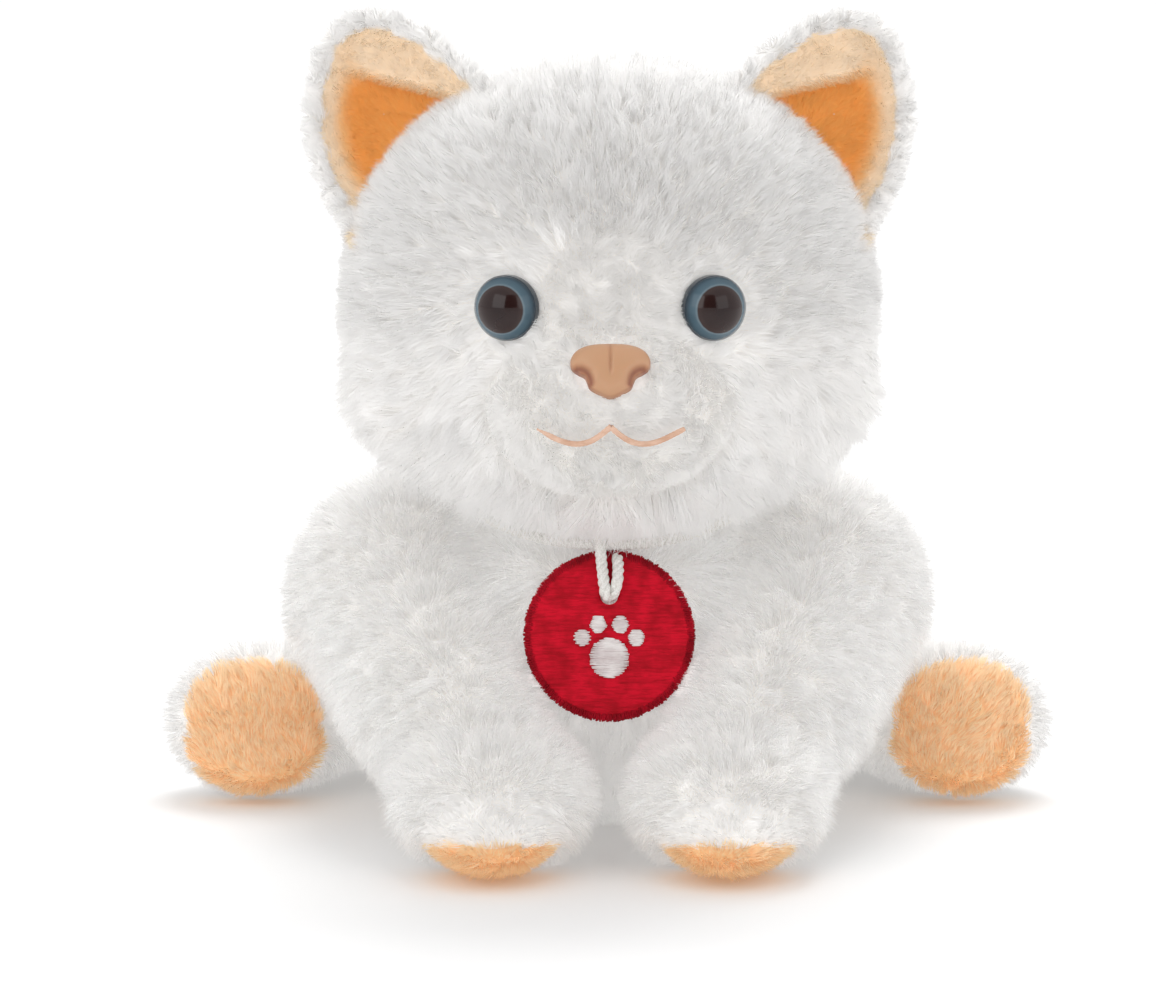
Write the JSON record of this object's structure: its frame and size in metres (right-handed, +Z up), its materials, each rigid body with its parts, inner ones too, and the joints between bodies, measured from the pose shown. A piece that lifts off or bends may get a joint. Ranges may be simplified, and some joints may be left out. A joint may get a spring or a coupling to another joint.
{
  "type": "plush cat",
  "caption": "Sitting plush cat with long pile covers over stuffing, domed eyes, short pile face, lined ears, soft pads and a round hang tag.",
  "frame": {"origin": "on the floor, in the flat base under the body, on the cat's middle plane", "axes": "+Z up, the cat faces -Y, its own left is +X"},
  "size_m": [0.219, 0.2211, 0.1937],
  "materials": {
    "white_long_pile": "long silky pile plush",
    "white_short_pile": "short sheared pile plush",
    "peach_pile": "short brushed pile plush",
    "ear_lining_pile": "very short brushed pile",
    "stuffing": "loose polyester fibre",
    "pouch_cloth": "plain woven cloth",
    "pellets": "loose granules",
    "label_ribbon": "satin ribbon",
    "white_cord": "braided cotton cord",
    "seam_thread": "sewing thread",
    "eye_iris": "high gloss",
    "eye_pupil": "high gloss",
    "nose_vinyl": "satin",
    "washer_plastic": "moulded",
    "mouth_thread": "satin stitch",
    "red_embroidery": "fill stitch",
    "red_felt": "felt",
    "white_embroidery": "fill stitch"
  },
  "bodies": {
    "torso": {"belly_panel": "white_long_pile", "left_body_panel": "white_long_pile", "right_body_panel": "white_long_pile", "body_stuffing": "stuffing", "pellet_pouch": "pouch_cloth", "pellet_fill": "pellets", "care_label": "label_ribbon", "neck_cord": "white_cord"},
    "neck": {"neck_plug": "stuffing"},
    "neck_band": {"neck_seam": "seam_thread"},
    "head": {"left_head_panel": "white_long_pile", "right_head_panel": "white_long_pile", "face_panel": "white_short_pile", "head_stuffing": "stuffing", "left_eye": "eye_iris", "right_eye": "eye_iris", "left_eye_pupil": "eye_pupil", "right_eye_pupil": "eye_pupil", "left_eye_washer": "washer_plastic", "right_eye_washer": "washer_plastic", "nose": "nose_vinyl", "nose_washer": "washer_plastic", "mouth_embroidery": "mouth_thread"},
    "left_ear": {"left_ear_back": "white_long_pile", "left_ear_lining": "ear_lining_pile"},
    "left_shoulder": {"left_shoulder_seam": "seam_thread"},
    "left_front_leg": {"left_front_leg_cover": "white_long_pile", "left_front_leg_stuffing": "stuffing", "left_paw_pad": "peach_pile"},
    "left_hip": {"left_hip_seam": "seam_thread"},
    "left_hind_leg": {"left_hind_leg_cover": "white_long_pile", "left_hind_leg_stuffing": "stuffing", "left_foot_pad": "peach_pile"},
    "right_ear": {"right_ear_back": "white_long_pile", "right_ear_lining": "ear_lining_pile"},
    "right_shoulder": {"right_shoulder_seam": "seam_thread"},
    "right_front_leg": {"right_front_leg_cover": "white_long_pile", "right_front_leg_stuffing": "stuffing", "right_paw_pad": "peach_pile"},
    "right_hip": {"right_hip_seam": "seam_thread"},
    "right_hind_leg": {"right_hind_leg_cover": "white_long_pile", "right_hind_leg_stuffing": "stuffing", "right_foot_pad": "peach_pile"},
    "tail_root": {"tail_seam": "seam_thread"},
    "tail": {"tail_cover": "white_long_pile", "tail_stuffing": "stuffing"},
    "tag_loop": {"tag_loop": "white_cord"},
    "tag": {"tag_face": "red_embroidery", "tag_backing": "red_felt", "tag_motif": "white_embroidery"}
  },
  "joints": [
    {"name": "neck_turn", "type": "hinge", "parent": "torso", "child": "neck", "pos_m": [0, -0.012, 0.084], "axis": [0, 0, 1], "range_deg": [-12, 12]},
    {"name": "neck_nod", "type": "hinge", "parent": "neck", "child": "neck_band", "pos_m": [0, -0.012, 0.084], "axis": [1, 0, 0], "range_deg": [-14, 2]},
    {"name": "neck_tilt", "type": "hinge", "parent": "neck_band", "child": "head", "pos_m": [0, -0.012, 0.084], "axis": [0, 1, 0], "range_deg": [-4, 4]},
    {"name": "left_ear_fold", "type": "hinge", "parent": "head", "child": "left_ear", "pos_m": [0.046, -0.025, 0.1635], "axis": [0.7071, 0, -0.7071], "range_deg": [-15, 10]},
    {"name": "left_shoulder_spread", "type": "hinge", "parent": "torso", "child": "left_shoulder", "pos_m": [0.046, -0.012, 0.053], "axis": [0, 0, 1], "range_deg": [-1, 25]},
    {"name": "left_front_leg_raise", "type": "hinge", "parent": "left_shoulder", "child": "left_front_leg", "pos_m": [0.046, -0.012, 0.053], "axis": [-0.796, -0.0995, 0.597], "range_deg": [0, 30]},
    {"name": "left_hip_swing", "type": "hinge", "parent": "torso", "child": "left_hip", "pos_m": [0.043, 0.038, 0.024], "axis": [0, 0, 1], "range_deg": [-4, 40]},
    {"name": "left_hind_leg_lift", "type": "hinge", "parent": "left_hip", "child": "left_hind_leg", "pos_m": [0.043, 0.038, 0.024], "axis": [-0.4539, -0.5518, 0.6996], "range_deg": [0, 30]},
    {"name": "right_ear_fold", "type": "hinge", "parent": "head", "child": "right_ear", "pos_m": [-0.046, -0.025, 0.1635], "axis": [0.7071, 0, 0.7071], "range_deg": [-15, 10]},
    {"name": "right_shoulder_spread", "type": "hinge", "parent": "torso", "child": "right_shoulder", "pos_m": [-0.046, -0.012, 0.053], "axis": [0, 0, -1], "range_deg": [-1, 25]},
    {"name": "right_front_leg_raise", "type": "hinge", "parent": "right_shoulder", "child": "right_front_leg", "pos_m": [-0.046, -0.012, 0.053], "axis": [-0.796, 0.0995, -0.597], "range_deg": [0, 30]},
    {"name": "right_hip_swing", "type": "hinge", "parent": "torso", "child": "right_hip", "pos_m": [-0.043, 0.038, 0.024], "axis": [0, 0, -1], "range_deg": [-4, 40]},
    {"name": "right_hind_leg_lift", "type": "hinge", "parent": "right_hip", "child": "right_hind_leg", "pos_m": [-0.043, 0.038, 0.024], "axis": [-0.4539, 0.5518, -0.6996], "range_deg": [0, 30]},
    {"name": "tail_swing", "type": "hinge", "parent": "torso", "child": "tail_root", "pos_m": [0, 0.066, 0.016], "axis": [0, 0, 1], "range_deg": [-24, 24]},
    {"name": "tail_lift", "type": "hinge", "parent": "tail_root", "child": "tail", "pos_m": [0, 0.066, 0.016], "axis": [1, 0, 0], "range_deg": [0, 16]},
    {"name": "tag_loop_swing", "type": "hinge", "parent": "torso", "child": "tag_loop", "pos_m": [0, -0.054, 0.072], "axis": [-1, 0, 0], "range_deg": [-1, 60]},
    {"name": "tag_turn", "type": "hinge", "parent": "tag_loop", "child": "tag", "pos_m": [0, -0.05649, 0.06026], "axis": [0, 0.9781, -0.2079], "range_deg": [-6, 6]}
  ]
}
